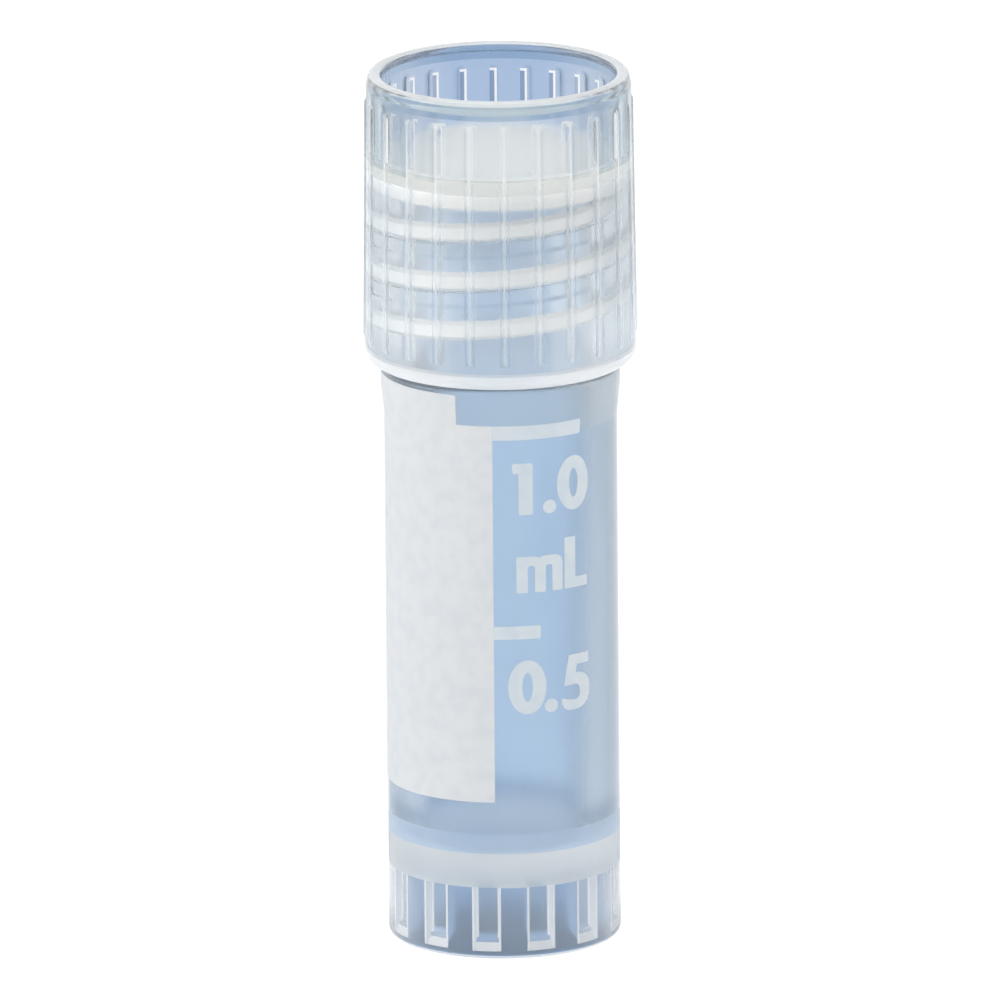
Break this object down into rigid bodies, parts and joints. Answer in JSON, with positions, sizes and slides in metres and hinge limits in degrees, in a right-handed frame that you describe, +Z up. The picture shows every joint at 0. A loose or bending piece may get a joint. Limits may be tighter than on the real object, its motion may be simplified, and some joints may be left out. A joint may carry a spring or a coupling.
{
  "type": "cryovial",
  "caption": "Self-standing cryogenic vial with an external screw thread, a clear screw cap with a top well, a seal, and a skirted foot with locking ribs.",
  "frame": {"origin": "centre of the base, on the surface that the foot stands on", "axes": "+Z up along the tube towards the cap; -Y is the side with the printed scale"},
  "size_m": [0.0128, 0.0128, 0.0417],
  "materials": {
    "tube_plastic": "natural translucent polypropylene with a pale blue cast, polished outside, faintly hazy",
    "cap_plastic": "clear polypropylene, polished",
    "silicone": "translucent white silicone, satin",
    "ink": "white screen-printed ink, matt"
  },
  "bodies": {
    "tube": {"tube": "tube_plastic"},
    "seal": {"seal": "silicone"},
    "cap": {"cap": "cap_plastic"}
  },
  "joints": [
    {"name": "cap_lift", "type": "slide", "parent": "tube", "child": "seal", "axis": [0, 0, 1], "range_m": [0, 0.00588]},
    {"name": "cap_turn", "type": "hinge", "parent": "seal", "child": "cap", "pos_m": [0, 0, 0.0363], "axis": [0, 0, 1], "range_deg": [0, 900]}
  ],
  "couplings": [
    {"joint": "cap_turn", "follows": "cap_lift", "rad_per_m": 2673.7}
  ]
}
